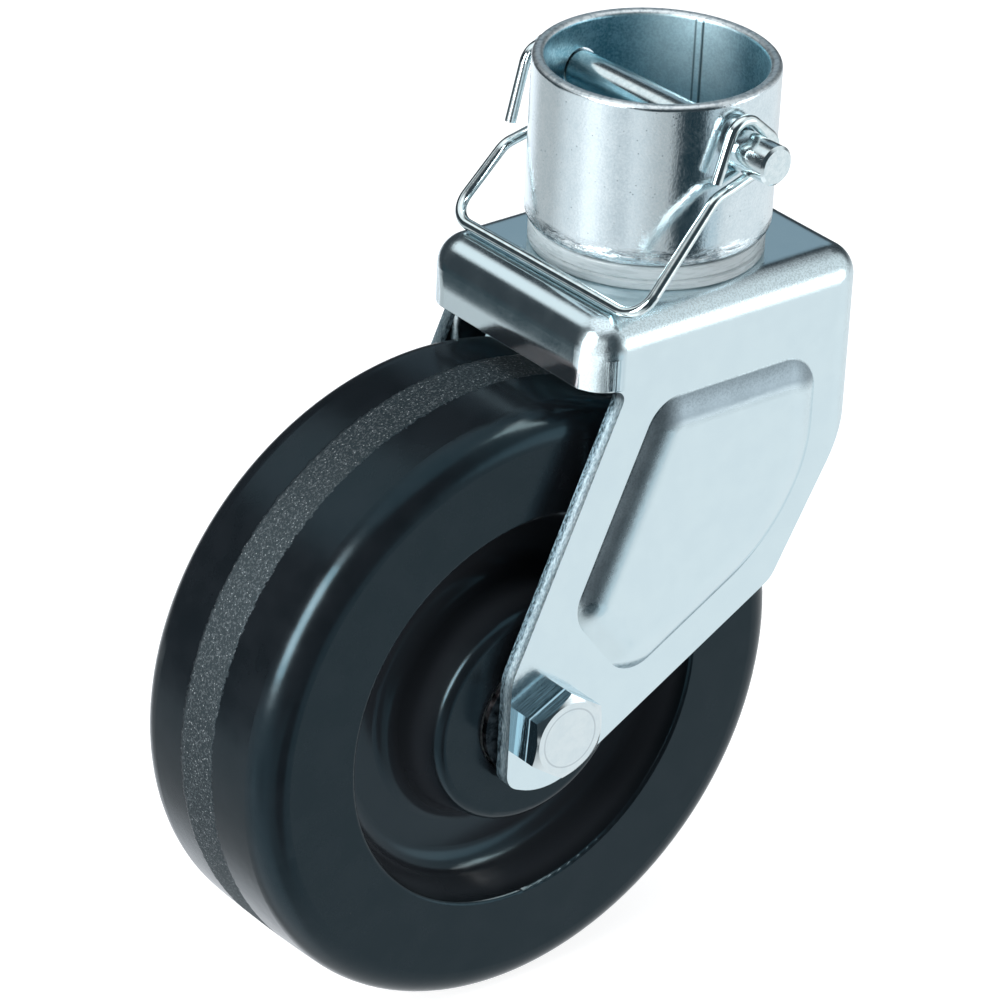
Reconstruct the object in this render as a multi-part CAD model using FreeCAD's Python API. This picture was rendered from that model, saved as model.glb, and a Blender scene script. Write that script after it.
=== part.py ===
"""Swivel caster for a trailer jack: pressed yoke, moulded wheel, tube socket, pull pin and wire bail.

Millimetres, +Z up. The origin is on the swivel axis, in the plane of the socket's inner seat, where
the end of the jack tube stands. X runs along the travel, with the axle trailing at -X. Y is the axle.
"""

import FreeCAD
import Part
import math
import os

V = FreeCAD.Vector
UP = V(0, 0, 1)
ALONG_AXLE = V(0, 1, 0)

# Socket, a welded tube with its lower end formed into a neck and swaged under the yoke
SOCKET_OD = 57.15
SOCKET_WALL = 2.9
SOCKET_DEPTH = 37.1
RIM_ROUND = 1.2
SHOULDER_ROUND = 2.4
NECK_ROOM = 9.0
SWAGE_LIP = 3.8
SWAGE_THICKNESS = 2.4
SEAT_ROUND = 1.5
NECK_ROUND = 1.8
SWAGE_ROUND = 1.7
SEAM_BEARING = 27.5
SEAM_WIDTH = 1.8
SEAM_HEIGHT = 0.25

# Swivel bearing
UPPER_RING_MARGIN = 4.6
UPPER_RING_THICKNESS = 5.8
RING_EDGE_ROUND = 0.6
RING_GROOVE = 0.5
RING_GROOVE_HEIGHT = 2.4
HUB_WALL = 2.3
LOWER_RING_THICKNESS = 2.4
RETAINER_MARGIN = 2.0
RETAINER_THICKNESS = 2.5
SWIVEL_PLAY = 0.1
RUNNING_FIT = 0.08
SEAT_CLEARANCE = 0.1

# Yoke, pressed from one sheet
YOKE_SHEET = 4.0
YOKE_WIDTH = 64.0
YOKE_FRONT = 40.0
YOKE_REAR = 41.0
CORNER_RADIUS = 8.5
TOP_BEND_RADIUS = 7.5
FRONT_SKIRT = 16.6
REAR_SKIRT = 38.0
LEG_FRONT_START = 9.8
LEG_FRONT_ANGLE = 23.9
LEG_REAR_ANGLE = 29.4
LEG_LOWER_ANGLE = 29.5
LEG_CORNER_RADIUS = 7.0
SKIRT_CORNER_RADIUS = 2.5
AXLE_TRAIL = 48.6
AXLE_DROP = 97.7
EAR_RADIUS = 17.0
EAR_FRONT_CUT = 11.4
EAR_CORNER_RADIUS = 5.0
EAR_CORNER_ANGLE = 24.0
EAR_SHOULDER_RADIUS = 12.0

# Panel pressed outwards in each leg
PANEL_HEIGHT = 2.5
PANEL_SLOPE = 8.2
PANEL_INNER_INSET = 1.2
PANEL_TOP_MARGIN = 22.2
PANEL_FRONT_MARGIN = 10.6
PANEL_REAR_MARGIN = 14.5
PANEL_SLANT_MARGIN = 6.7
PANEL_LOWER_MARGIN = 9.7
PANEL_AXLE_MARGIN = 20.4
PANEL_AXLE_ANGLE = 38.4
PANEL_RADII = (9.8, 10.0, 36.0, 45.0, 9.0, 9.0)
PANEL_STEPS = 4

# Wheel, a one-piece moulding
WHEEL_RADIUS = 76.15
WHEEL_CLEARANCE = 3.6
TREAD_CROWN = 0.9
CROWN_RADIUS = 400.0
SHOULDER_RADIUS = 7.5
DISH_RADIUS = 49.7
DISH_DRAFT = 3.4
DISH_FILLET = 6.0
DISH_EDGE_ROUND = 1.0
HUB_FILLET = 4.8
WEB_THICKNESS = 21.6
HUB_RADIUS = 27.3
HUB_DRAFT = 3.6
HUB_ROUND = 2.6
BORE_ROUND = 0.5

# Wheel bearing and axle
BOLT_RADIUS = 6.35
BOLT_END_REACH = 3.35
HEX_ACROSS_FLATS = 19.05
HEAD_HEIGHT = 8.0
HEAD_TURN = 26.3
HEX_FACE_RADIUS = 9.05
HEX_CHAMFER_ANGLE = 30.0
BOLT_END_CHAMFER = 0.95
NUT_HEIGHT = 15.2
NUT_COLLAR = 4.2
NUT_COLLAR_RADIUS = 8.85
NUT_COLLAR_ROUND = 1.2
INSERT_THICKNESS = 2.6
INSERT_WALL = 1.6
INSERT_DEPTH = 0.6
BOLT_HOLE_CLEARANCE = 0.25
SLEEVE_WALL = 3.0
SLEEVE_BORE_CLEARANCE = 0.175
ROLLER_RADIUS = 2.75
ROLLER_COUNT = 9
ROLLER_MARGIN = 5.4
ROLLER_PLAY = 0.04
CAGE_RING_THICKNESS = 2.4
CAGE_BAR_WIDTH = 2.0
CAGE_BAR_HEIGHT = 1.8
CAGE_CLEARANCE = 0.35
THRUST_WASHER_RADIUS = 14.9
THRUST_WASHER_THICKNESS = 1.4
THRUST_PLAY = 0.1

# Pull pin and its wire bail, turned a little on the swivel from the line of the axle
PIN_BEARING = 2.86
PIN_RADIUS = 4.7625
PIN_NEAR_REACH = 11.925
PIN_FAR_REACH = 9.925
PIN_RIM_DISTANCE = 12.44
PIN_CHAMFER = 0.65
PIN_HOLE_CLEARANCE = 0.45
WIRE_RADIUS = 1.34
WIRE_CLEARANCE = 0.12
NEAR_HOOK_OFFSET = 1.09
FAR_HOOK_OFFSET = 2.59
NEAR_LEG_SPREAD = 1.9
FAR_LEG_SPREAD = 1.0
HOOK_PLAY = 0.1
BAIL_REST_GAP = 0.3
BAIL_LEG_ANGLE = 44.6
NEAR_UPPER_ANGLE = 138.9
NEAR_UPPER_RUN = 10.3
NEAR_LOWER_ANGLE = 16.0
NEAR_FOOT_MARGIN = 5.16
NEAR_FREE_RUN = 17.6
NEAR_FREE_ANGLE = -109.0
NEAR_HOOK_RADIUS = 4.5
FAR_HOLE_ANGLE = 126.9
FAR_UPPER_RUN = 13.9
FAR_LOWER_RUN = 16.15
FAR_FOOT_MARGIN = 2.99
FAR_RETURN_ANGLE = 189.9
FAR_FREE_RUN = 23.9
FAR_FREE_ANGLE = -104.5
FAR_PEAK_RADIUS = 4.6
FAR_BACK_RADIUS = 3.6
BAIL_CORNER_RADIUS = 6.0
BAIL_BEND_RADIUS = 6.0

# Worked out from the sizes above
BORE_RADIUS = SOCKET_OD / 2 - SOCKET_WALL
YOKE_TOP = -(SOCKET_WALL + SWIVEL_PLAY + UPPER_RING_THICKNESS)
YOKE_UNDERSIDE = YOKE_TOP - YOKE_SHEET
RETAINER_TOP = YOKE_UNDERSIDE - LOWER_RING_THICKNESS - SWIVEL_PLAY
SWAGE_TOP = RETAINER_TOP - RETAINER_THICKNESS
LEG_OUTER = YOKE_WIDTH / 2
LEG_INNER = LEG_OUTER - YOKE_SHEET
NECK_RADIUS = LEG_INNER - NECK_ROOM
RING_BORE = NECK_RADIUS + RUNNING_FIT
YOKE_HOLE = RING_BORE + HUB_WALL + SEAT_CLEARANCE
LOWER_RING_RADIUS = LEG_OUTER - TOP_BEND_RADIUS
RETAINER_RADIUS = LEG_INNER - RETAINER_MARGIN
UPPER_RING_RADIUS = LEG_OUTER - UPPER_RING_MARGIN
WHEEL_WIDTH = 2 * (LEG_INNER - WHEEL_CLEARANCE)
HUB_LENGTH = 2 * (LEG_INNER - SEAT_CLEARANCE - THRUST_WASHER_THICKNESS - THRUST_PLAY)
ROLLER_LENGTH = HUB_LENGTH - 2 * ROLLER_MARGIN
PIN_HEIGHT = SOCKET_DEPTH - PIN_RIM_DISTANCE
AXLE_Z = YOKE_TOP - AXLE_DROP
AXLE = V(-AXLE_TRAIL, 0, AXLE_Z)
SLEEVE_BORE = BOLT_RADIUS + SLEEVE_BORE_CLEARANCE
SLEEVE_RADIUS = SLEEVE_BORE + SLEEVE_WALL
BEARING_BORE = SLEEVE_RADIUS + 2 * (ROLLER_RADIUS + ROLLER_PLAY)
ROLLER_PITCH_RADIUS = SLEEVE_RADIUS + ROLLER_RADIUS + ROLLER_PLAY


def rounded_wire(corners, to_point):
    """Closed wire through (u, v, radius) corners, each corner rounded by a tangent arc of its radius."""
    count = len(corners)
    places = [V(u, v, 0) for u, v, radius in corners]
    starts = []
    middles = []
    ends = []
    for i, place in enumerate(places):
        before = (places[i - 1] - place).normalize()
        after = (places[(i + 1) % count] - place).normalize()
        radius = corners[i][2]
        half = before.getAngle(after) / 2
        reach = radius / math.tan(half)
        inward = (before + after).normalize() if radius > 0 else V(0, 0, 0)
        starts.append(place + before * reach)
        ends.append(place + after * reach)
        middles.append(place + inward * (radius / math.sin(half) - radius))
    edges = []
    for i in range(count):
        start, middle, end = (to_point(p.x, p.y) for p in (starts[i], middles[i], ends[i]))
        if corners[i][2] > 0:
            edges.append(Part.Arc(start, middle, end).toShape())
        following = to_point(starts[(i + 1) % count].x, starts[(i + 1) % count].y)
        if end.distanceToPoint(following) > 1e-6:
            edges.append(Part.LineSegment(end, following).toShape())
    return Part.Wire(edges)


def bent_path(stops):
    """Open wire through (point, radius) stops in space, each inner stop bent to its radius."""
    edges = []
    here = stops[0][0]
    for i in range(1, len(stops) - 1):
        corner, radius = stops[i]
        before = (stops[i - 1][0] - corner).normalize()
        after = (stops[i + 1][0] - corner).normalize()
        half = before.getAngle(after) / 2
        reach = radius / math.tan(half)
        middle = corner + (before + after).normalize() * (radius / math.sin(half) - radius)
        edges.append(Part.LineSegment(here, corner + before * reach).toShape())
        edges.append(Part.Arc(corner + before * reach, middle, corner + after * reach).toShape())
        here = corner + after * reach
    edges.append(Part.LineSegment(here, stops[-1][0]).toShape())
    return Part.Wire(edges)


def ring(outer, inner, height, base, direction=UP):
    """Flat ring with its near face at base."""
    outside = Part.makeCylinder(outer, height, base, direction)
    return outside.cut(Part.makeCylinder(inner, height, base, direction))


def meet(first, second):
    """Crossing point of two lines, each given as (u, v, du, dv)."""
    u1, v1, du1, dv1 = first
    u2, v2, du2, dv2 = second
    across = du1 * dv2 - dv1 * du2
    t = ((u2 - u1) * dv2 - (v2 - v1) * du2) / across
    return u1 + du1 * t, v1 + dv1 * t


def shifted(line, distance):
    """The line moved to its left by distance."""
    u, v, du, dv = line
    length = math.hypot(du, dv)
    return u - dv / length * distance, v + du / length * distance, du, dv


def towards(angle):
    """Unit direction in a plane at an angle in degrees."""
    return math.cos(math.radians(angle)), math.sin(math.radians(angle))


def socket_tube():
    """Tube, inner seat, neck through the yoke and the swaged lip, turned from one wall thickness."""
    outer = SOCKET_OD / 2
    neck_inside = NECK_RADIUS - SOCKET_WALL
    lip = NECK_RADIUS + SWAGE_LIP
    profile = rounded_wire(
        [
            (BORE_RADIUS, SOCKET_DEPTH, RIM_ROUND),
            (outer, SOCKET_DEPTH, RIM_ROUND),
            (outer, -SOCKET_WALL, SHOULDER_ROUND),
            (NECK_RADIUS, -SOCKET_WALL, 0),
            (NECK_RADIUS, SWAGE_TOP, 0),
            (lip, SWAGE_TOP, 0),
            (lip, SWAGE_TOP - SWAGE_THICKNESS, SWAGE_ROUND),
            (neck_inside, SWAGE_TOP - SWAGE_THICKNESS, SWAGE_THICKNESS),
            (neck_inside, 0, NECK_ROUND),
            (BORE_RADIUS, 0, SEAT_ROUND),
        ],
        lambda r, z: V(r, 0, z),
    )
    tube = Part.Face(profile).revolve(V(0, 0, 0), UP, 360)
    seam_angle = math.degrees(SEAM_WIDTH / BORE_RADIUS)
    seam_base = V(0, 0, 2 * RIM_ROUND)
    seam_length = SOCKET_DEPTH - 3 * RIM_ROUND
    seam = Part.makeCylinder(BORE_RADIUS + SOCKET_WALL / 2, seam_length, seam_base, UP, seam_angle)
    seam = seam.cut(Part.makeCylinder(BORE_RADIUS - SEAM_HEIGHT, seam_length, seam_base, UP))
    seam.rotate(V(0, 0, 0), UP, SEAM_BEARING - seam_angle / 2)
    tube = tube.fuse(seam)
    hole = Part.makeCylinder(
        PIN_RADIUS + PIN_HOLE_CLEARANCE, 2 * SOCKET_OD, V(0, -SOCKET_OD, PIN_HEIGHT), ALONG_AXLE
    )
    hole.rotate(V(0, 0, 0), UP, PIN_BEARING)
    return tube.cut(hole).removeSplitter()


def upper_bearing_ring():
    """Plastic ring under the socket's shoulder, with a hub that lines the hole in the yoke."""
    top = YOKE_TOP + UPPER_RING_THICKNESS
    hub_end = YOKE_UNDERSIDE + SEAT_CLEARANCE
    hub_radius = RING_BORE + HUB_WALL
    groove = YOKE_TOP + RING_GROOVE_HEIGHT
    profile = rounded_wire(
        [
            (RING_BORE, top, 0),
            (UPPER_RING_RADIUS, top, RING_EDGE_ROUND),
            (UPPER_RING_RADIUS, groove + RING_GROOVE, 0),
            (UPPER_RING_RADIUS - RING_GROOVE, groove, 0),
            (UPPER_RING_RADIUS, groove - RING_GROOVE, 0),
            (UPPER_RING_RADIUS, YOKE_TOP, RING_EDGE_ROUND),
            (hub_radius, YOKE_TOP, 0),
            (hub_radius, hub_end, 0),
            (RING_BORE, hub_end, 0),
        ],
        lambda r, z: V(r, 0, z),
    )
    return Part.Face(profile).revolve(V(0, 0, 0), UP, 360)


def lower_bearing_ring():
    """Plastic thrust ring between the yoke's underside and the retaining washer."""
    base = V(0, 0, YOKE_UNDERSIDE - LOWER_RING_THICKNESS)
    return ring(LOWER_RING_RADIUS, RING_BORE, LOWER_RING_THICKNESS, base)


def retaining_washer():
    """Steel washer held by the swaged lip of the socket's neck."""
    return ring(RETAINER_RADIUS, NECK_RADIUS, RETAINER_THICKNESS, V(0, 0, SWAGE_TOP))


def leg_lines():
    """Front, rear and lower edges of a leg as lines in (x, z), each running down the leg."""
    front_u, front_v = towards(-90 - LEG_FRONT_ANGLE)
    rear_u, rear_v = towards(-90 - LEG_REAR_ANGLE)
    lower_u, lower_v = towards(180 + LEG_LOWER_ANGLE)
    front = (-YOKE_FRONT + LEG_FRONT_START, YOKE_TOP - FRONT_SKIRT, front_u, front_v)
    rear = (YOKE_REAR, YOKE_TOP - REAR_SKIRT, rear_u, rear_v)
    touch_u = AXLE.x - lower_v * EAR_RADIUS
    touch_v = AXLE.z + lower_u * EAR_RADIUS
    lower = (touch_u, touch_v, lower_u, lower_v)
    return front, rear, lower


def side_outline():
    """Side view of the whole pressing: skirts in front and behind, and the leg down to its ear."""
    front, rear, lower = leg_lines()
    cut_line = (AXLE.x - EAR_FRONT_CUT, AXLE.z, 0, -1)
    rim_u, rim_v = towards(-90 - EAR_CORNER_ANGLE)
    rim_tangent = (AXLE.x + rim_u * EAR_RADIUS, AXLE.z + rim_v * EAR_RADIUS, -rim_v, rim_u)
    margin = 1.0
    corners = [
        (-YOKE_FRONT - margin, YOKE_TOP + margin, 0),
        (YOKE_REAR + margin, YOKE_TOP + margin, 0),
        (YOKE_REAR + margin, YOKE_TOP - REAR_SKIRT, 0),
        (*rear[:2], 0),
        (*meet(rear, lower), LEG_CORNER_RADIUS),
        (*meet(lower, rim_tangent), EAR_RADIUS),
        (*meet(cut_line, rim_tangent), EAR_CORNER_RADIUS),
        (*meet(cut_line, front), EAR_SHOULDER_RADIUS),
        (*front[:2], SKIRT_CORNER_RADIUS),
        (-YOKE_FRONT - margin, YOKE_TOP - FRONT_SKIRT, 0),
    ]
    wire = rounded_wire(corners, lambda x, z: V(x, -YOKE_WIDTH, z))
    return Part.Face(wire).extrude(V(0, 2 * YOKE_WIDTH, 0))


def pan(inset, top, depth):
    """Block with the yoke's rounded corners and top bend, inset from the outer faces by a thickness."""
    length = YOKE_REAR + YOKE_FRONT - 2 * inset
    width = YOKE_WIDTH - 2 * inset
    block = Part.makeBox(length, width, depth, V(-YOKE_FRONT + inset, -width / 2, top - depth))
    upright = [e for e in block.Edges if abs(e.Vertexes[0].Z - e.Vertexes[1].Z) > depth / 2]
    block = block.makeFillet(CORNER_RADIUS - inset, upright)
    rim = [e for e in block.Edges if e.BoundBox.ZMin > top - 0.01]
    return block.makeFillet(TOP_BEND_RADIUS - inset, rim)


def panel_outline(inset, level):
    """Wire of the pressed panel at a place along Y, drawn in by an inset."""
    front, rear, lower = leg_lines()
    top = (0, YOKE_TOP - PANEL_TOP_MARGIN, 1, 0)
    upright = (YOKE_REAR - PANEL_REAR_MARGIN, 0, 0, -1)
    out_u, out_v = towards(PANEL_AXLE_ANGLE)
    axle_line = (
        AXLE.x + out_u * PANEL_AXLE_MARGIN,
        AXLE.z + out_v * PANEL_AXLE_MARGIN,
        -out_v,
        out_u,
    )
    margins = [
        shifted(top, -inset),
        shifted(upright, -inset),
        shifted(rear, -PANEL_SLANT_MARGIN - inset),
        shifted(lower, -PANEL_LOWER_MARGIN - inset),
        shifted(axle_line, -inset),
        shifted(front, PANEL_FRONT_MARGIN + inset),
    ]
    corners = []
    for i, radius in enumerate(PANEL_RADII):
        u, v = meet(margins[i - 1], margins[i])
        corners.append((u, v, radius - inset))
    return rounded_wire(corners, lambda x, z: V(x, level, z))


def pressed_panel(side, base, foot_inset):
    """Raised panel as a solid: from its foot at base its slope rounds off, level, into the flat face."""
    reach = PANEL_SLOPE - foot_inset
    radius = (reach * reach + PANEL_HEIGHT * PANEL_HEIGHT) / (2 * PANEL_HEIGHT)
    sections = []
    for i in range(PANEL_STEPS + 1):
        left = reach * (1 - i / PANEL_STEPS)
        height = PANEL_HEIGHT - radius + math.sqrt(radius * radius - left * left)
        sections.append(panel_outline(PANEL_SLOPE - left, side * (base + height)))
    return Part.makeLoft(sections, True, False)


def yoke():
    """Pan-shaped top, short front skirt, deeper rear skirt and two legs, all of one sheet."""
    depth = AXLE_DROP + 2 * EAR_RADIUS
    shell = pan(0, YOKE_TOP, depth).cut(pan(YOKE_SHEET, YOKE_UNDERSIDE, depth))
    front_gap = Part.makeBox(
        2 * CORNER_RADIUS,
        2 * YOKE_WIDTH,
        depth,
        V(-YOKE_FRONT - CORNER_RADIUS, -YOKE_WIDTH, YOKE_TOP - FRONT_SKIRT - depth),
    )
    shell = shell.cut(front_gap)
    reach = AXLE_TRAIL + 2 * EAR_RADIUS
    plates = [
        Part.makeBox(
            reach,
            YOKE_SHEET,
            depth - FRONT_SKIRT,
            V(-reach, side * (LEG_INNER + YOKE_SHEET / 2) - YOKE_SHEET / 2, YOKE_TOP - depth),
        )
        for side in (-1, 1)
    ]
    body = shell.fuse(plates).removeSplitter().common(side_outline())
    for side in (-1, 1):
        body = body.fuse(pressed_panel(side, LEG_OUTER, 0))
        body = body.cut(pressed_panel(side, LEG_INNER, PANEL_INNER_INSET))
    hole_base = V(0, 0, YOKE_UNDERSIDE - YOKE_SHEET / 2)
    body = body.cut(Part.makeCylinder(YOKE_HOLE, 2 * YOKE_SHEET, hole_base, UP))
    bolt_hole = Part.makeCylinder(
        BOLT_RADIUS + BOLT_HOLE_CLEARANCE, 2 * YOKE_WIDTH, AXLE - ALONG_AXLE * YOKE_WIDTH, ALONG_AXLE
    )
    return body.cut(bolt_hole).removeSplitter()


def wheel():
    """Moulded wheel: crowned tread, rounded shoulders, a deep dish on each side and a long hub."""
    half = WHEEL_WIDTH / 2
    web = WEB_THICKNESS / 2
    hub = HUB_LENGTH / 2
    side = [
        (BEARING_BORE, hub, BORE_ROUND),
        (HUB_RADIUS, hub, HUB_ROUND),
        (HUB_RADIUS + HUB_DRAFT, web, HUB_FILLET),
        (DISH_RADIUS - DISH_DRAFT, web, DISH_FILLET),
        (DISH_RADIUS, half, DISH_EDGE_ROUND),
        (WHEEL_RADIUS - TREAD_CROWN, half, SHOULDER_RADIUS),
    ]
    crown = [(WHEEL_RADIUS, 0, CROWN_RADIUS)]
    mirrored = [(r, -y, radius) for r, y, radius in reversed(side)]
    profile = rounded_wire(side + crown + mirrored, lambda r, y: AXLE + V(r, y, 0))
    return Part.Face(profile).revolve(AXLE, ALONG_AXLE, 360)


def bearing_rollers():
    """Straight rollers that run between the axle sleeve and the wheel's bore."""
    rollers = []
    for i in range(ROLLER_COUNT):
        u, v = towards(360 / ROLLER_COUNT * i)
        centre = AXLE + V(u, 0, v) * ROLLER_PITCH_RADIUS
        rollers.append(
            Part.makeCylinder(
                ROLLER_RADIUS, ROLLER_LENGTH, centre - ALONG_AXLE * (ROLLER_LENGTH / 2), ALONG_AXLE
            )
        )
    return Part.makeCompound(rollers)


def bearing_cage():
    """Two end rings joined by a bar between each pair of rollers."""
    outer = BEARING_BORE - CAGE_CLEARANCE
    inner = SLEEVE_RADIUS + CAGE_CLEARANCE
    start = ROLLER_LENGTH / 2 + CAGE_CLEARANCE
    cage = ring(outer, inner, CAGE_RING_THICKNESS, AXLE + ALONG_AXLE * start, ALONG_AXLE)
    far_base = AXLE - ALONG_AXLE * (start + CAGE_RING_THICKNESS)
    cage = cage.fuse(ring(outer, inner, CAGE_RING_THICKNESS, far_base, ALONG_AXLE))
    bars = []
    for i in range(ROLLER_COUNT):
        bar = Part.makeBox(
            CAGE_BAR_HEIGHT,
            2 * start + CAGE_RING_THICKNESS,
            CAGE_BAR_WIDTH,
            V(ROLLER_PITCH_RADIUS - CAGE_BAR_HEIGHT / 2, -start - CAGE_RING_THICKNESS / 2, -CAGE_BAR_WIDTH / 2),
        )
        bar.rotate(V(0, 0, 0), ALONG_AXLE, 360 / ROLLER_COUNT * (i + 0.5))
        bar.translate(AXLE)
        bars.append(bar)
    return cage.fuse(bars).removeSplitter()


def axle_sleeve():
    """Steel tube clamped between the legs, the inner race of the roller bearing."""
    base = AXLE - ALONG_AXLE * LEG_INNER
    return ring(SLEEVE_RADIUS, SLEEVE_BORE, 2 * LEG_INNER, base, ALONG_AXLE)


def thrust_washers():
    """One washer on the sleeve at each end of the hub."""
    start = HUB_LENGTH / 2 + THRUST_PLAY
    thickness = LEG_INNER - start - SEAT_CLEARANCE
    bore = SLEEVE_RADIUS + SEAT_CLEARANCE
    washers = []
    for side in (-1, 1):
        base = AXLE + ALONG_AXLE * (side * start)
        washers.append(ring(THRUST_WASHER_RADIUS, bore, thickness, base, ALONG_AXLE * side))
    return Part.makeCompound(washers)


def hex_block(height):
    """Hexagon along +Z from z = 0, with the corners of its far end turned down to a cone."""
    corner = HEX_ACROSS_FLATS / 2 / math.cos(math.radians(30))
    points = []
    for i in range(7):
        u, v = towards(60 * i)
        points.append(V(corner * u, corner * v, 0))
    prism = Part.Face(Part.makePolygon(points)).extrude(V(0, 0, height))
    blank = corner + 1
    cone_height = (blank - HEX_FACE_RADIUS) * math.tan(math.radians(HEX_CHAMFER_ANGLE))
    turned = Part.makeCone(blank, HEX_FACE_RADIUS, cone_height, V(0, 0, height - cone_height), UP)
    turned = turned.fuse(Part.makeCylinder(blank, height - cone_height, V(0, 0, 0), UP))
    return prism.common(turned)


def lie_along_axle(shape, side):
    """Lay a piece made along +Z on the axle line, pointing out of the leg on the given side."""
    shape.rotate(V(0, 0, 0), V(1, 0, 0), -90 * side)
    shape.translate(AXLE)
    return shape


def axle_bolt():
    """Hexagon-head bolt, its head on the leg at -Y."""
    head = hex_block(HEAD_HEIGHT)
    head.rotate(V(0, 0, 0), UP, HEAD_TURN)
    head.translate(V(0, 0, LEG_OUTER))
    tip = -LEG_OUTER - NUT_HEIGHT - BOLT_END_REACH
    chamfer = BOLT_END_CHAMFER
    shank = Part.makeCylinder(BOLT_RADIUS, LEG_OUTER - tip - chamfer, V(0, 0, tip + chamfer), UP)
    point = Part.makeCone(BOLT_RADIUS - chamfer, BOLT_RADIUS, chamfer, V(0, 0, tip), UP)
    return lie_along_axle(head.fuse([shank, point]).removeSplitter(), -1)


def axle_nut():
    """Lock nut on the far leg: a hexagon with a round collar that holds the insert."""
    hex_height = NUT_HEIGHT - NUT_COLLAR
    nut = hex_block(hex_height)
    collar = Part.makeCylinder(NUT_COLLAR_RADIUS, NUT_COLLAR, V(0, 0, hex_height), UP)
    collar_rim = [e for e in collar.Edges if e.BoundBox.ZMin > NUT_HEIGHT - 0.01]
    nut = nut.fuse(collar.makeFillet(NUT_COLLAR_ROUND, collar_rim))
    pocket_base = V(0, 0, hex_height + INSERT_DEPTH)
    pocket_height = INSERT_THICKNESS + SEAT_CLEARANCE
    nut = nut.cut(Part.makeCylinder(BOLT_RADIUS + INSERT_WALL, pocket_height, pocket_base, UP))
    nut = nut.cut(Part.makeCylinder(BOLT_RADIUS + SEAT_CLEARANCE / 2, NUT_HEIGHT, V(0, 0, 0), UP))
    nut.rotate(V(0, 0, 0), UP, HEAD_TURN)
    nut.translate(V(0, 0, LEG_OUTER))
    return lie_along_axle(nut.removeSplitter(), 1)


def nut_insert():
    """Plastic locking ring inside the nut's collar."""
    base = V(0, 0, LEG_OUTER + NUT_HEIGHT - NUT_COLLAR + INSERT_DEPTH)
    gap = SEAT_CLEARANCE / 2
    insert = ring(BOLT_RADIUS + INSERT_WALL - gap, BOLT_RADIUS + gap, INSERT_THICKNESS, base)
    return lie_along_axle(insert, 1)


def near_hook_plane():
    """Place along Y of the open hook that snaps over the near end of the pin."""
    return -(SOCKET_OD / 2 + NEAR_HOOK_OFFSET + WIRE_RADIUS)


def far_hook_plane():
    """Place along Y of the closed hook that is threaded through the far end of the pin."""
    return SOCKET_OD / 2 + FAR_HOOK_OFFSET + WIRE_RADIUS


def onto_socket(shape):
    """Set a piece drawn about the pin's own axis at its height and bearing on the socket."""
    shape.translate(V(0, 0, PIN_HEIGHT))
    shape.rotate(V(0, 0, 0), UP, PIN_BEARING)
    return shape


def pull_pin():
    """Round pin with chamfered ends and a cross hole for the wire at the far end."""
    near_end = V(0, -SOCKET_OD / 2 - PIN_NEAR_REACH, 0)
    length = SOCKET_OD + PIN_NEAR_REACH + PIN_FAR_REACH
    pin = Part.makeCylinder(PIN_RADIUS, length, near_end, ALONG_AXLE)
    ends = [e for e in pin.Edges if e.BoundBox.YMax - e.BoundBox.YMin < 0.01]
    pin = pin.makeChamfer(PIN_CHAMFER, ends)
    u, v = towards(FAR_HOLE_ANGLE)
    across = V(u, 0, v)
    start = V(0, far_hook_plane(), 0) - across * (2 * PIN_RADIUS)
    pin = pin.cut(Part.makeCylinder(WIRE_RADIUS + WIRE_CLEARANCE, 4 * PIN_RADIUS, start, across))
    return onto_socket(pin)


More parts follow.
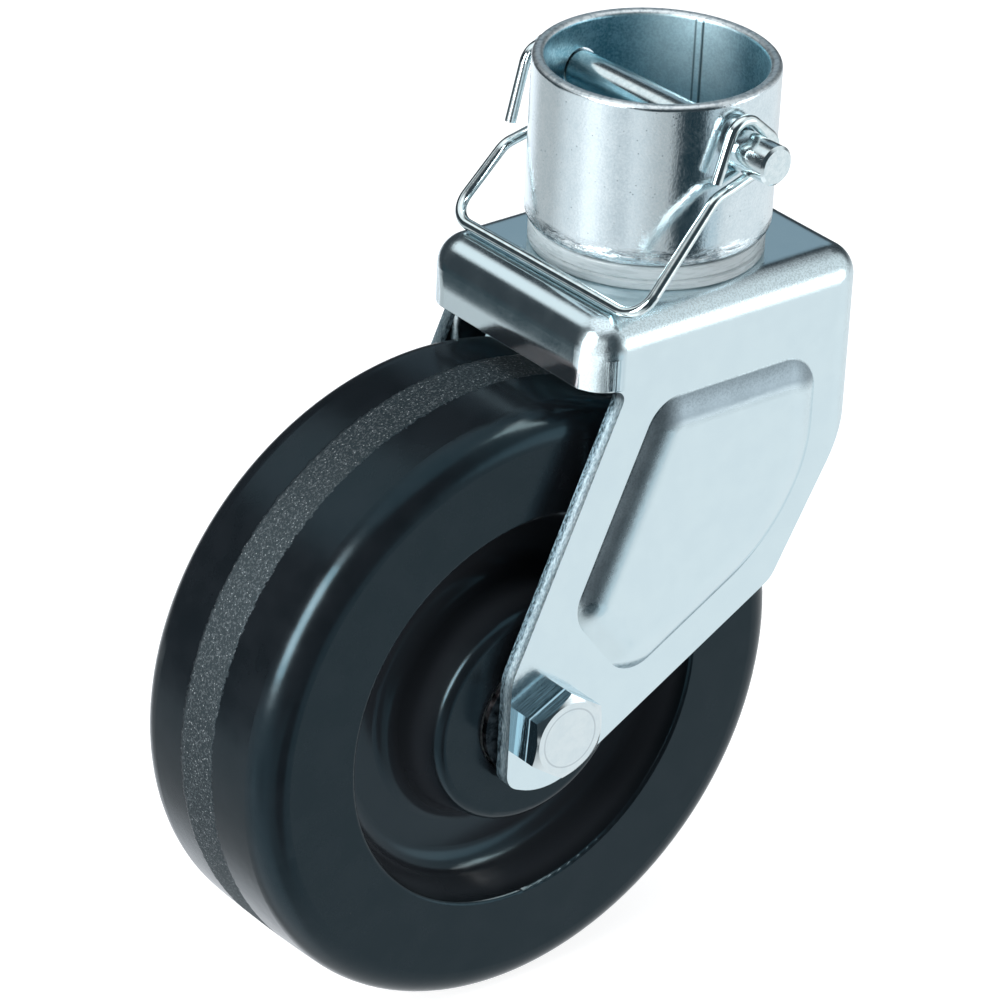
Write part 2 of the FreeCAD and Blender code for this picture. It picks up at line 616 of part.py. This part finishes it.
def wire_bail():
    """Spring wire from the open hook, down one leg, along the cross bar and up to the threaded hook."""
    near_y = near_hook_plane()
    far_y = far_hook_plane()
    rest = YOKE_TOP + BAIL_REST_GAP + WIRE_RADIUS - PIN_HEIGHT
    leg_u, leg_v = towards(BAIL_LEG_ANGLE)
    near_foot = (-UPPER_RING_RADIUS - NEAR_FOOT_MARGIN, rest)
    far_foot = (-UPPER_RING_RADIUS - FAR_FOOT_MARGIN, rest)
    clear = PIN_RADIUS + WIRE_RADIUS + HOOK_PLAY

    upper_u, upper_v = towards(NEAR_UPPER_ANGLE)
    lower_u, lower_v = towards(NEAR_LOWER_ANGLE)
    upper = shifted((0, 0, upper_u, upper_v), -clear)
    lower = shifted((0, 0, lower_u, lower_v), -clear)
    back = meet(upper, lower)
    peak = (upper[0] + upper_u * NEAR_UPPER_RUN, upper[1] + upper_v * NEAR_UPPER_RUN)
    free_u, free_v = towards(NEAR_FREE_ANGLE)
    free_end = (peak[0] + free_u * NEAR_FREE_RUN, peak[1] + free_v * NEAR_FREE_RUN)
    near_bend = meet(lower, (*near_foot, leg_u, leg_v))

    hole_u, hole_v = towards(FAR_HOLE_ANGLE)
    far_peak = (hole_u * FAR_UPPER_RUN, hole_v * FAR_UPPER_RUN)
    far_back = (-hole_u * FAR_LOWER_RUN, -hole_v * FAR_LOWER_RUN)
    far_free_u, far_free_v = towards(FAR_FREE_ANGLE)
    far_end = (far_peak[0] + far_free_u * FAR_FREE_RUN, far_peak[1] + far_free_v * FAR_FREE_RUN)
    far_bend = meet((*far_back, *towards(FAR_RETURN_ANGLE)), (*far_foot, leg_u, leg_v))

    stops = [
        (V(free_end[0], near_y, free_end[1]), 0),
        (V(peak[0], near_y, peak[1]), NEAR_HOOK_RADIUS),
        (V(back[0], near_y, back[1]), NEAR_HOOK_RADIUS),
        (V(near_bend[0], near_y, near_bend[1]), BAIL_BEND_RADIUS),
        (V(near_foot[0], near_y - NEAR_LEG_SPREAD, near_foot[1]), BAIL_CORNER_RADIUS),
        (V(far_foot[0], far_y + FAR_LEG_SPREAD, far_foot[1]), BAIL_CORNER_RADIUS),
        (V(far_bend[0], far_y, far_bend[1]), BAIL_BEND_RADIUS),
        (V(far_back[0], far_y, far_back[1]), FAR_BACK_RADIUS),
        (V(far_peak[0], far_y, far_peak[1]), FAR_PEAK_RADIUS),
        (V(far_end[0], far_y, far_end[1]), 0),
    ]
    path = bent_path(stops)
    first = stops[0][0]
    along = (stops[1][0] - first).normalize()
    section = Part.Wire(Part.Circle(first, along, WIRE_RADIUS).toShape())
    wire = path.makePipeShell([section], True, False)
    return onto_socket(wire)


PIECES = (
    socket_tube,
    upper_bearing_ring,
    lower_bearing_ring,
    retaining_washer,
    yoke,
    wheel,
    bearing_rollers,
    bearing_cage,
    axle_sleeve,
    thrust_washers,
    axle_bolt,
    axle_nut,
    nut_insert,
    pull_pin,
    wire_bail,
)

os.makedirs("parts", exist_ok=True)
for piece in PIECES:
    shape = piece()
    shape.exportStep("parts/" + piece.__name__ + ".step")
    print(piece.__name__, len(shape.Solids), "solid(s)", shape.isValid(), round(shape.Volume, 1), "mm3")
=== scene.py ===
"""Looks of a swivel caster for a trailer jack: bright zinc, spring wire, nylon rings and a moulded wheel.

Metres, in the same frame as the CAD: +Z up, the origin on the swivel axis in the plane of the socket's seat.
"""

import math

import bmesh
import bpy
from mathutils import Matrix, Vector

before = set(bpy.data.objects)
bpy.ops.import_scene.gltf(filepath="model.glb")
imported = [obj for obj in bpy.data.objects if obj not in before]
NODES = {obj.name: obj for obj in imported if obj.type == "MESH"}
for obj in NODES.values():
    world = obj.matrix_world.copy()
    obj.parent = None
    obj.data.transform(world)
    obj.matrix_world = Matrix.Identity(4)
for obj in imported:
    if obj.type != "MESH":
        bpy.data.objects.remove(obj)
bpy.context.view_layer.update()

MM = 0.001

# Where the CAD has the shapes that the finishes follow
AXLE = Vector((-48.6, 0.0, -106.5)) * MM
FLOOR_LEVEL = -182.4 * MM
LEG_SIDE = 32 * MM
FRONT_SKIRT_END = -25.4 * MM
CORNER_X = -31.5 * MM
CORNER_Y = 23.5 * MM
BORE_RADIUS = 25.675 * MM
SEAM_BEARING = math.radians(27.5)
SEAM_WIDTH = 1.8 * MM
RIM_LEVEL = 34.5 * MM
SHOULDER_LEVEL = 0.9 * MM
HEAD_SIDE = -34.5 * MM
THREAD_START = 40.05 * MM
THREAD_RADIUS = 6.525 * MM
TREAD_RADIUS = 74.8 * MM
DISH_RADIUS = 49 * MM
HUB_RADIUS = 28.25 * MM

# Marks and relief that the finishes add
SHEARED_DEPTH = 30.1 * MM
BEND_START = 23.5 * MM
SOFT_FRONT_TOP = -11.5 * MM
SOFT_FRONT_END = -21.5 * MM
SOFT_FRONT_DEPTH = 1.4 * MM
SCORES_TOP = -17.5 * MM
SCORES_END = -25.3 * MM
HEAD_CIRCLE = 7.4 * MM
FLASH_LINE = 36 * MM
THREAD_PITCH = 1.954 * MM
THREAD_DEPTH = 0.9 * MM
STRIP_MIDDLE = 0.6 * MM
STRIP_REACH = 5.65 * MM

# The photograph's camera
CAMERA_PLACE = Vector((-0.76711, -0.87247, 0.54190))
CAMERA_BACK = Vector((-0.5648, -0.6774, 0.4714))
CAMERA_ROLL = math.radians(2.931)
LENS = 200.77
SENSOR = 36.0

# Where the soft lights point, and how far from there they stand
LIT_PLACE = Vector((-30.0, 0.0, -70.0)) * MM
LIGHT_DISTANCE = 1.2

FLOOR_REACH = 12.0
BACKDROP_RADIUS = 11.0
WHITE = (1.0, 1.0, 1.0, 1.0)
BLACK = (0.0, 0.0, 0.0, 1.0)


def direction(bearing, elevation):
    """Unit vector towards a bearing, counted from +X to +Y, and an elevation, in degrees."""
    turn = math.radians(bearing)
    lift = math.radians(elevation)
    return Vector((math.cos(lift) * math.cos(turn), math.cos(lift) * math.sin(turn), math.sin(lift)))


def placed(name, data):
    """A new object of the scene."""
    thing = bpy.data.objects.new(name, data)
    bpy.context.scene.collection.objects.link(thing)
    return thing


class Graph:
    """A node tree with short ways to add and join its nodes."""

    def __init__(self, tree):
        self.tree = tree
        self.coordinates = self.add("ShaderNodeTexCoord").outputs
        self.place = self.coordinates["Object"]
        self.facing = self.coordinates["Normal"]

    def add(self, kind, inputs=None, **settings):
        """A node with its settings, whose inputs are each joined to a socket or set to a value."""
        node = self.tree.nodes.new(kind)
        for name, value in settings.items():
            setattr(node, name, value)
        for name, value in (inputs or {}).items():
            if isinstance(value, bpy.types.NodeSocket):
                self.tree.links.new(value, node.inputs[name])
            else:
                node.inputs[name].default_value = value
        return node

    def math(self, operation, first, second=0.0):
        return self.add("ShaderNodeMath", {0: first, 1: second}, operation=operation).outputs[0]

    def times(self, first, *others):
        for other in others:
            first = self.math("MULTIPLY", first, other)
        return first

    def plus(self, first, second):
        return self.math("ADD", first, second)

    def most(self, first, *others):
        for other in others:
            first = self.math("MAXIMUM", first, other)
        return first

    def size(self, value):
        """The value without its sign."""
        return self.math("ABSOLUTE", value)

    def apart(self, first, second):
        """How far one number is from another."""
        return self.size(self.math("SUBTRACT", first, second))

    def reach(self, first, second):
        """Distance from an axis, given the two ordinates across it."""
        return self.math("SQRT", self.plus(self.times(first, first), self.times(second, second)))

    def split(self, vector):
        """The three ordinates of a vector."""
        return self.add("ShaderNodeSeparateXYZ", {0: vector}).outputs

    def from_axle(self):
        """The three ordinates of the place, counted from the middle of the axle."""
        moved = self.add("ShaderNodeVectorMath", {0: self.place, 1: AXLE}, operation="SUBTRACT")
        return self.split(moved.outputs[0])

    def noise(self, size, detail=3.0, stretch=(1, 1, 1), roughness=0.55, seed=0.0):
        """Noise from 0 to 1 whose features are about size long, in metres, stretched along each axis."""
        scale = [1 / (size * s) for s in stretch]
        moves = {"Vector": self.place, "Location": (seed, seed, seed), "Scale": scale}
        moved = self.add("ShaderNodeMapping", moves).outputs[0]
        inputs = {"Vector": moved, "Scale": 1.0, "Detail": detail, "Roughness": roughness}
        return self.add("ShaderNodeTexNoise", inputs).outputs["Fac"]

    def cells(self, size):
        """Distance to the nearest of scattered points that lie about size apart, counted in that size."""
        return self.add("ShaderNodeTexVoronoi", {"Vector": self.place, "Scale": 1 / size}).outputs["Distance"]

    def ramp(self, value, low, high, start=0.0, end=1.0):
        """The value's way from low to high, drawn softly from start to end."""
        inputs = {"Value": value, "From Min": low, "From Max": high, "To Min": start, "To Max": end}
        return self.add("ShaderNodeMapRange", inputs, interpolation_type="SMOOTHSTEP").outputs[0]

    def above(self, value, level, width):
        """1 above a level and 0 below it, with a soft step as wide as said."""
        return self.ramp(value, level - width / 2, level + width / 2)

    def below(self, value, level, width):
        """1 below a level and 0 above it, with a soft step as wide as said."""
        return self.ramp(value, level + width / 2, level - width / 2)

    def mix(self, share, first, second):
        """Colour between two colours, each a socket or its red, green and blue."""
        inputs = {0: share}
        for index, value in ((6, first), (7, second)):
            inputs[index] = value if isinstance(value, bpy.types.NodeSocket) else (*value, 1.0)
        return self.add("ShaderNodeMix", inputs, data_type="RGBA").outputs[2]

    def between(self, share, first, second):
        """Number between two numbers."""
        return self.add("ShaderNodeMix", {0: share, 2: first, 3: second}).outputs[0]


class Finish(Graph):
    """A material: its shader's even values, then the nodes that vary over the surface."""

    def __init__(self, name, even):
        self.material = bpy.data.materials.new(name)
        self.material.use_nodes = True
        super().__init__(self.material.node_tree)
        self.shader = self.tree.nodes["Principled BSDF"]
        for socket, value in even.items():
            self.shader.inputs[socket].default_value = value
        self.relief = None

    def drive(self, name, value):
        self.tree.links.new(value, self.shader.inputs[name])

    def bump(self, height, depth):
        """Relief of a depth in metres, on top of what was there before."""
        inputs = {"Height": height, "Distance": depth, "Strength": 1.0}
        if self.relief is not None:
            inputs["Normal"] = self.relief
        self.relief = self.add("ShaderNodeBump", inputs).outputs[0]
        self.drive("Normal", self.relief)

    def onto(self, *names):
        for name in names:
            slots = NODES[name].data.materials
            slots.clear()
            slots.append(self.material)


def yoke_finish():
    """Bright zinc on pressed sheet: rougher where stretched, with painted shade on the panels' upward slopes,
    scored round its corners, torn at its edges.
    """
    m = Finish("zinc_sheet", {"Metallic": 1.0})
    x, y, z = m.split(m.place)
    nx, ny, nz = m.split(m.facing)
    out = m.size(y)

    # Cut edges of the sheet, sheared along their outer part and torn along their inner part
    facing_front = m.times(m.below(m.size(ny), 0.275, 0.15), m.below(x, 1 * MM, 2 * MM))
    facing_down = m.below(nz, -0.4, 0.1)
    edge = m.times(m.most(facing_front, facing_down), m.below(z, FRONT_SKIRT_END, 0.2 * MM))
    torn_share = m.below(m.plus(out, m.times(m.noise(2 * MM), 1.2 * MM)), SHEARED_DEPTH, 1 * MM)
    grain = m.noise(0.45 * MM, 4.0, stretch=(1, 1, 3), seed=9.0)
    torn = m.mix(m.ramp(grain, 0.35, 0.65), (0.02, 0.035, 0.042), (0.15, 0.22, 0.26))
    sheared = m.mix(m.ramp(grain, 0.3, 0.7), (0.2, 0.28, 0.32), (0.42, 0.54, 0.59))

    # Slopes of the panels that face up, which get painted shade, and the bends at the sides and corners
    upper_slope = m.times(m.ramp(out, LEG_SIDE + 0.05 * MM, LEG_SIDE + 0.3 * MM), m.ramp(nz, 0.02, 0.22))
    straight = m.most(m.size(nx), m.size(ny), nz)
    bent = m.times(m.ramp(straight, 0.995, 0.93), m.above(out, BEND_START, 3 * MM))
    stretched = m.noise(0.5 * MM, 2.0, seed=5.0)

    # Scores round the front corners, which the die drew down to the skirt's end
    around = m.math("ARCTAN2", m.math("SUBTRACT", out, CORNER_Y), m.math("SUBTRACT", CORNER_X, x))
    drawn = m.times(m.below(z, SCORES_TOP, 0.6 * MM), m.above(z, SCORES_END, 0.6 * MM))
    drawn = m.times(drawn, m.ramp(around, 0.0, 0.2), m.ramp(around, 1.5, 1.3))
    scores = m.times(m.noise(0.7 * MM, stretch=(1, 1, 30)), drawn, m.ramp(around, 0.9, 1.15, 0.12, 1.0))

    fine = m.noise(0.6 * MM, roughness=0.6)
    cloud = m.noise(7 * MM, seed=3.0)
    sheet = m.mix(m.ramp(cloud, 0.3, 0.7), (0.69, 0.815, 0.86), (0.715, 0.84, 0.88))
    # Painted shade: the panels' upward slopes darkened in colour
    sheet = m.mix(upper_slope, sheet, (0.3, 0.37, 0.41))
    speckled = m.ramp(m.noise(0.45 * MM, 2.0, seed=5.0), 0.4, 0.65)
    speckled = m.times(speckled, bent, m.above(nz, 0.0, 0.2))
    sheet = m.mix(m.times(speckled, 0.18), sheet, (0.0, 0.0, 0.0))
    m.drive("Base Color", m.mix(edge, sheet, m.mix(torn_share, sheared, torn)))
    satin = m.ramp(m.plus(fine, cloud), 0.7, 1.3, 0.13, 0.19)
    worked = m.most(m.times(upper_slope, 0.25), m.times(bent, 0.08))
    m.drive("Roughness", m.between(edge, m.plus(satin, worked), 0.45))

    at_front = m.times(m.below(x, -32.5 * MM, 3 * MM), m.ramp(out, LEG_SIDE - 0.1 * MM, 24 * MM))
    m.bump(m.times(m.ramp(z, SOFT_FRONT_TOP, SOFT_FRONT_END), at_front), SOFT_FRONT_DEPTH)
    m.bump(scores, 0.16 * MM)
    m.bump(m.noise(16 * MM, 2.0), 0.05 * MM)
    m.bump(fine, 0.013 * MM)
    m.bump(m.times(stretched, bent), 0.015 * MM)
    m.bump(m.times(grain, edge), 0.1 * MM)
    m.onto("yoke")


def tube_finish():
    """Satin zinc on welded tube: sawn at its rim, crusted along its shoulder, bluer inside with painted light
    round the seam, with a seam.
    """
    m = Finish("zinc_tube", {"Metallic": 1.0})
    x, y, z = m.split(m.place)
    up = m.split(m.facing)[2]
    from_axis = m.reach(x, y)
    inside = m.below(from_axis, BORE_RADIUS + 0.25 * MM, 0.3 * MM)
    fine = m.noise(0.6 * MM, 4.0, roughness=0.6)
    cloud = m.noise(4 * MM, 5.0, roughness=0.6, seed=1.0)
    tone = m.plus(m.times(fine, 0.6), m.times(cloud, 0.4))

    # Pits in patches, and the crust along the shoulder, with darker patches in it
    pitted = m.ramp(m.noise(8 * MM, 2.0, seed=4.0), 0.42, 0.6)
    pits = m.times(m.ramp(m.cells(1.7 * MM), 0.13, 0.06), pitted)
    crust = m.times(m.below(z, SHOULDER_LEVEL, 3 * MM), m.ramp(from_axis, BORE_RADIUS, BORE_RADIUS + 1 * MM))
    lumps = m.noise(1.6 * MM, 4.0, stretch=(2.2, 2.2, 0.6), roughness=0.6, seed=6.0)
    pale = m.times(m.ramp(lumps, 0.5, 0.68), crust)
    dark_patches = m.noise(3 * MM, 4.0, stretch=(2, 2, 0.5), roughness=0.65, seed=8.0)
    dark_patches = m.times(m.ramp(dark_patches, 0.49, 0.62), crust)
    outer = m.mix(m.ramp(tone, 0.35, 0.65), (0.67, 0.775, 0.82), (0.775, 0.865, 0.9))
    outer = m.mix(pits, outer, (0.25, 0.32, 0.36))
    outer = m.mix(m.times(dark_patches, 0.8), outer, (0.14, 0.19, 0.22))
    outer = m.mix(m.times(pale, 0.7), outer, (0.86, 0.92, 0.94))

    # Inside, a painted pool of light round the seam and a dark line along each of its sides
    turned = m.math("SUBTRACT", m.math("ARCTAN2", y, x), SEAM_BEARING)
    lit = m.times(m.ramp(m.apart(turned, 0.05), 0.8, 0.25), inside)
    off_line = m.apart(m.size(m.times(turned, BORE_RADIUS)), SEAM_WIDTH / 2)
    scored = m.times(m.ramp(off_line, 0.45 * MM, 0.1 * MM), 0.8)
    inner = m.mix(m.ramp(tone, 0.38, 0.62), (0.24, 0.48, 0.58), (0.56, 0.82, 0.9))
    # Painted light: the lit patch round the seam drawn paler in colour
    inner = m.mix(m.times(lit, 0.6), inner, (0.8, 0.96, 1.0))
    inner = m.mix(scored, inner, (0.1, 0.17, 0.2))

    rim = m.times(m.ramp(up, 0.3, 0.6), m.above(z, RIM_LEVEL, 1 * MM))
    sawn = m.mix(m.ramp(m.noise(1.1 * MM, seed=2.0), 0.3, 0.6), (0.5, 0.58, 0.62), (0.8, 0.86, 0.88))
    m.drive("Base Color", m.mix(rim, m.mix(inside, outer, inner), sawn))
    satin = m.ramp(tone, 0.35, 0.65, 0.12, 0.2)
    satin = m.between(inside, satin, m.between(lit, 0.34, 0.5))
    satin = m.between(rim, satin, 0.42)
    m.drive("Roughness", m.between(pale, satin, 0.5))
    m.bump(cloud, 0.03 * MM)
    m.bump(fine, 0.028 * MM)
    m.bump(m.times(lumps, crust), 0.4 * MM)
    m.bump(m.times(m.noise(1.1 * MM), rim), 0.05 * MM)
    m.onto("socket_tube")


def fastener_finish():
    """Bright zinc on turned and forged steel, with a painted dark reflection on the flats and a thread on the
    bolt's end.
    """
    m = Finish("zinc_fastener", {"Metallic": 1.0})
    x, y, z = m.from_axle()
    fine = m.noise(0.4 * MM, 4.0)
    cloud = m.noise(3 * MM, seed=5.0)
    flats = m.ramp(m.size(m.split(m.facing)[1]), 0.3, 0.15)
    off_circle = m.apart(m.reach(x, z), HEAD_CIRCLE)
    circle = m.times(m.ramp(off_circle, 0.3 * MM, 0.1 * MM), m.below(y, HEAD_SIDE, 1 * MM))
    bright = m.mix(m.ramp(cloud, 0.3, 0.7), (0.7, 0.79, 0.82), (0.76, 0.84, 0.86))
    bright = m.mix(m.times(circle, 0.5), bright, (0.4, 0.46, 0.5))
    # Painted reflection: the flats and shank drawn in a darker teal than the faces
    m.drive("Base Color", m.mix(flats, bright, (0.34, 0.5, 0.58)))
    m.drive("Roughness", m.ramp(m.plus(fine, cloud), 0.7, 1.3, 0.08, 0.17))

    flash = m.ramp(m.apart(m.size(y), FLASH_LINE), 0.7 * MM, 0.0)
    m.bump(m.times(flash, flats), 0.22 * MM)
    turn = m.times(m.math("ARCTAN2", z, x), 1 / math.tau)
    along = m.math("FRACT", m.plus(m.times(y, 1 / THREAD_PITCH), turn))
    crest = m.apart(m.times(along, 2.0), 1.0)
    on_end = m.times(m.above(y, THREAD_START, 0.1 * MM), m.below(m.reach(x, z), THREAD_RADIUS, 0.15 * MM))
    threaded = m.times(on_end, flats)
    m.bump(m.times(crest, threaded), THREAD_DEPTH)
    m.bump(cloud, 0.015 * MM)
    m.bump(m.times(m.noise(1.2 * MM, stretch=(6, 0.4, 6)), flats), 0.05 * MM)
    m.bump(fine, 0.006 * MM)
    m.onto("axle_bolt", "axle_nut", "retaining_washer")


def washer_finish():
    """Zinc under black grease that has worked out of the hub."""
    m = Finish("greased_zinc", {"Metallic": 1.0})
    film = m.noise(2 * MM, 4.0)
    m.drive("Base Color", m.mix(m.ramp(film, 0.35, 0.7), (0.018, 0.022, 0.026), (0.09, 0.1, 0.11)))
    m.drive("Roughness", m.ramp(film, 0.3, 0.7, 0.25, 0.5))
    m.bump(film, 0.03 * MM)
    m.onto("thrust_washers")


def pin_finish():
    """Drawn steel, plated and nearly polished."""
    m = Finish("pin_steel", {"Metallic": 1.0})
    fine = m.noise(0.35 * MM, 4.0)
    cloud = m.noise(1.5 * MM, 4.0)
    m.drive("Base Color", m.mix(m.ramp(cloud, 0.35, 0.65), (0.69, 0.8, 0.83), (0.79, 0.88, 0.9)))
    m.drive("Roughness", m.ramp(fine, 0.35, 0.65, 0.1, 0.2))
    m.bump(fine, 0.01 * MM)
    m.onto("pull_pin")


def wire_finish():
    """Plated spring wire."""
    m = Finish("spring_wire", {"Metallic": 1.0})
    fine = m.noise(0.3 * MM)
    cloud = m.noise(2 * MM)
    m.drive("Base Color", m.mix(m.ramp(cloud, 0.35, 0.65), (0.68, 0.79, 0.81), (0.82, 0.9, 0.91)))
    m.drive("Roughness", m.ramp(fine, 0.35, 0.65, 0.08, 0.17))
    m.bump(fine, 0.006 * MM)
    m.onto("wire_bail")


def bearing_finish():
    """Ground steel under a film of grease."""
    m = Finish("ground_steel", {"Metallic": 1.0, "Coat Weight": 0.3, "Coat Roughness": 0.2})
    grain = m.noise(0.3 * MM, stretch=(1, 30, 1))
    m.drive("Base Color", m.mix(m.ramp(m.noise(3 * MM), 0.35, 0.65), (0.42, 0.42, 0.41), (0.6, 0.6, 0.59)))
    m.drive("Roughness", m.ramp(grain, 0.3, 0.7, 0.2, 0.35))
    m.bump(grain, 0.004 * MM)
    m.onto("axle_sleeve", "bearing_rollers")


def nylon_finish(name, dark, light, *nodes):
    """Nylon, milky and slightly see-through, with faint turning marks."""
    even = {
        "IOR": 1.53,
        "Subsurface Weight": 0.5,
        "Subsurface Radius": (1.0, 1.0, 1.0),
        "Subsurface Scale": 2.0 * MM,
    }
    m = Finish(name, even)
    streaks = m.noise(1.2 * MM, 4.0, stretch=(4, 4, 0.5))
    m.drive("Base Color", m.mix(m.ramp(streaks, 0.3, 0.7), dark, light))
    m.drive("Roughness", m.ramp(streaks, 0.3, 0.7, 0.22, 0.4))
    m.bump(streaks, 0.02 * MM)
    m.onto(*nodes)


def wheel_finish():
    """Black moulded phenolic, semi-gloss, with the grey filler showing along the middle of the tread; painted
    light in the dish and painted glints on the filler.
    """
    m = Finish("black_phenolic", {"IOR": 1.35, "Specular Tint": (0.34, 0.78, 1.0, 1.0)})
    x, y, z = m.from_axle()
    radius = m.reach(x, z)
    cloud = m.noise(9 * MM, 4.0)
    dish = m.times(m.below(radius, DISH_RADIUS, 1 * MM), m.above(radius, HUB_RADIUS, 1.5 * MM))
    body = m.mix(m.ramp(cloud, 0.3, 0.7), (0.006, 0.008, 0.01), (0.0085, 0.0105, 0.013))
    # Painted light: the dish drawn lighter than the rest of the body
    body = m.mix(dish, body, (0.024, 0.027, 0.032))

    # The strip of filler, with ragged edges, specks and a few painted glints
    wander = m.times(m.math("SUBTRACT", m.noise(1.2 * MM, 4.0), 0.5), 2.2 * MM)
    across = m.size(m.plus(m.math("SUBTRACT", y, STRIP_MIDDLE), wander))
    strip = m.times(m.above(radius, TREAD_RADIUS, 0.4 * MM), m.below(across, STRIP_REACH, 0.9 * MM))
    specks = m.ramp(m.noise(0.6 * MM, 5.0, roughness=0.75), 0.5, 0.62)
    painted_glints = m.ramp(m.cells(1.0 * MM), 0.2, 0.08)
    filler = m.mix(specks, (0.004, 0.0055, 0.007), (0.074, 0.081, 0.086))
    # Painted glints: bright dots drawn into the filler's colour
    filler = m.mix(m.times(painted_glints, 0.8), filler, (0.34, 0.37, 0.38))

    m.drive("Base Color", m.mix(strip, body, filler))
    m.drive("Roughness", m.between(strip, m.ramp(cloud, 0.3, 0.7, 0.17, 0.22), 0.62))
    m.bump(m.noise(7 * MM, 2.0, seed=2.0), 0.05 * MM)
    m.bump(m.noise(0.6 * MM, 2.0, seed=3.0), 0.003 * MM)
    m.bump(m.times(m.noise(0.5 * MM, 5.0), strip), 0.15 * MM)
    m.onto("wheel")


# Soft round patches: bearing and elevation, inner and outer radius in degrees, and radiance
LOBES = (
    ((0, 90), 20, 45, (1.2, 1.23, 1.26)),
    ((64, -38), 14, 34, (1.15, 1.2, 1.26)),
    ((50, 24), 8, 18, (0.27, 0.36, 0.42)),
    ((112, 47), 9, 22, (0.95, 1.0, 1.02)),
    ((322, 20), 22, 48, (0.84, 0.88, 0.9)),
    ((345, -50), 30, 62, (0.9, 0.93, 0.95)),
    ((182, -30), 20, 52, (0.9, 0.94, 0.97)),
    ((190, -62), 14, 34, (1.3, 1.33, 1.36)),
    ((202, -28), 2, 11, (0.66, 0.7, 0.73)),
    ((173, -28), 3, 13, (1.3, 1.32, 1.34)),
    ((312, 1), 9, 20, (2.5, 2.55, 2.6)),
    ((286, -28), 6, 16, (0.6, 0.71, 0.77)),
    ((262, 20), 14, 40, (0.035, 0.05, 0.06)),
    ((266, -26), 12, 17, (0.02, 0.04, 0.052)),
    ((130, -8), 6, 15, (0.035, 0.055, 0.065)),
)


def surroundings():
    """A studio's surroundings: pale below, dark at eye level, with soft banks above, left and right."""
    world = bpy.data.worlds.new("studio")
    bpy.context.scene.world = world
    world.use_nodes = True
    w = Graph(world.node_tree)
    view = w.coordinates["Generated"]
    sky = w.mix(w.ramp(w.split(view)[2], -0.3, -0.18), (0.56, 0.58, 0.59), (0.04, 0.05, 0.058))
    for aim, inner, outer, radiance in LOBES:
        facing = w.add("ShaderNodeVectorMath", {0: view, 1: direction(*aim)}, operation="DOT_PRODUCT")
        far = math.cos(math.radians(outer))
        near = math.cos(math.radians(inner))
        sky = w.mix(w.ramp(facing.outputs["Value"], far, near), sky, radiance)
    shader = world.node_tree.nodes["Background"]
    world.node_tree.links.new(sky, shader.inputs["Color"])
    shader.inputs["Strength"].default_value = 1.0


def softbox(name, aim, size, power, color, lit=()):
    """A soft rectangular light that faces the caster, itself unseen; lit names what alone it lights."""
    light = bpy.data.lights.new(name, "AREA")
    light.shape = "RECTANGLE"
    light.size, light.size_y = size
    light.energy = power
    light.color = color
    box = placed(name, light)
    towards = direction(*aim)
    box.location = LIT_PLACE + towards * LIGHT_DISTANCE
    box.rotation_euler = towards.to_track_quat("Z", "Y").to_euler()
    box.visible_camera = False
    box.visible_diffuse = not lit
    if lit:
        group = bpy.data.collections.new(name)
        for node in lit:
            group.objects.link(NODES[node])
        box.light_linking.receiver_collection = group


def glowing(name, base, roughness, strength):
    """A finish without gloss that gives its own white light."""
    even = {
        "Base Color": base,
        "Roughness": roughness,
        "Specular IOR Level": 0.0,
        "Emission Color": WHITE,
        "Emission Strength": strength,
    }
    return Finish(name, even).material


def floor():
    """Plain pale floor under the wheel, wide enough for every view."""
    mesh = bpy.data.meshes.new("floor")
    corners = ((-1, -1), (1, -1), (1, 1), (-1, 1))
    places = [(x * FLOOR_REACH, y * FLOOR_REACH, FLOOR_LEVEL) for x, y in corners]
    mesh.from_pydata(places, [], [(0, 1, 2, 3)])
    mesh.materials.append(glowing("floor", (0.45, 0.455, 0.46, 1.0), 0.9, 0.88))
    plane = placed("floor", mesh)
    plane.visible_glossy = False


def backdrop():
    """White dome behind the caster that only the camera sees."""
    mesh = bpy.data.meshes.new("backdrop")
    shape = bmesh.new()
    bmesh.ops.create_uvsphere(shape, u_segments=32, v_segments=16, radius=BACKDROP_RADIUS)
    shape.to_mesh(mesh)
    shape.free()
    mesh.materials.append(glowing("backdrop", BLACK, 1.0, 1.0))
    dome = placed("backdrop", mesh)
    dome.visible_diffuse = False
    dome.visible_glossy = False
    dome.visible_transmission = False
    dome.visible_shadow = False


def camera():
    """The photograph's viewpoint."""
    data = bpy.data.cameras.new("camera")
    data.sensor_width = SENSOR
    data.lens = LENS
    data.clip_start = 0.01
    data.clip_end = 100.0
    back = CAMERA_BACK.normalized()
    level = Vector((0, 0, 1)).cross(back).normalized()
    upright = back.cross(level)
    right = level * math.cos(CAMERA_ROLL) + upright * math.sin(CAMERA_ROLL)
    up = upright * math.cos(CAMERA_ROLL) - level * math.sin(CAMERA_ROLL)
    eye = placed("camera", data)
    eye.matrix_world = Matrix.Translation(CAMERA_PLACE) @ Matrix((right, up, back)).transposed().to_4x4()
    bpy.context.scene.camera = eye


bpy.context.scene.view_settings.view_transform = "Standard"
yoke_finish()
tube_finish()
fastener_finish()
washer_finish()
pin_finish()
wire_finish()
bearing_finish()
nylon_finish(
    "natural_nylon",
    (0.42, 0.48, 0.5),
    (0.49, 0.55, 0.57),
    "upper_bearing_ring",
    "lower_bearing_ring",
    "bearing_cage",
)
nylon_finish("white_nylon", (0.78, 0.79, 0.78), (0.84, 0.85, 0.84), "nut_insert")
wheel_finish()
surroundings()
softbox("left_bank", (187, 25), (0.5, 0.85), 14.0, (0.97, 0.99, 1.0))
softbox("wheel_bank", (187, 25), (0.36, 0.8), 150.0, (1.0, 0.53, 0.44), ("wheel",))
softbox("dish_bank", (335, 48), (0.6, 0.6), 20.0, (1.0, 0.7, 0.6), ("wheel",))
softbox("corner_bank", (205, 2), (1.7, 1.8), 7.6, (1.0, 1.0, 1.0), ("yoke",))
floor()
backdrop()
camera()
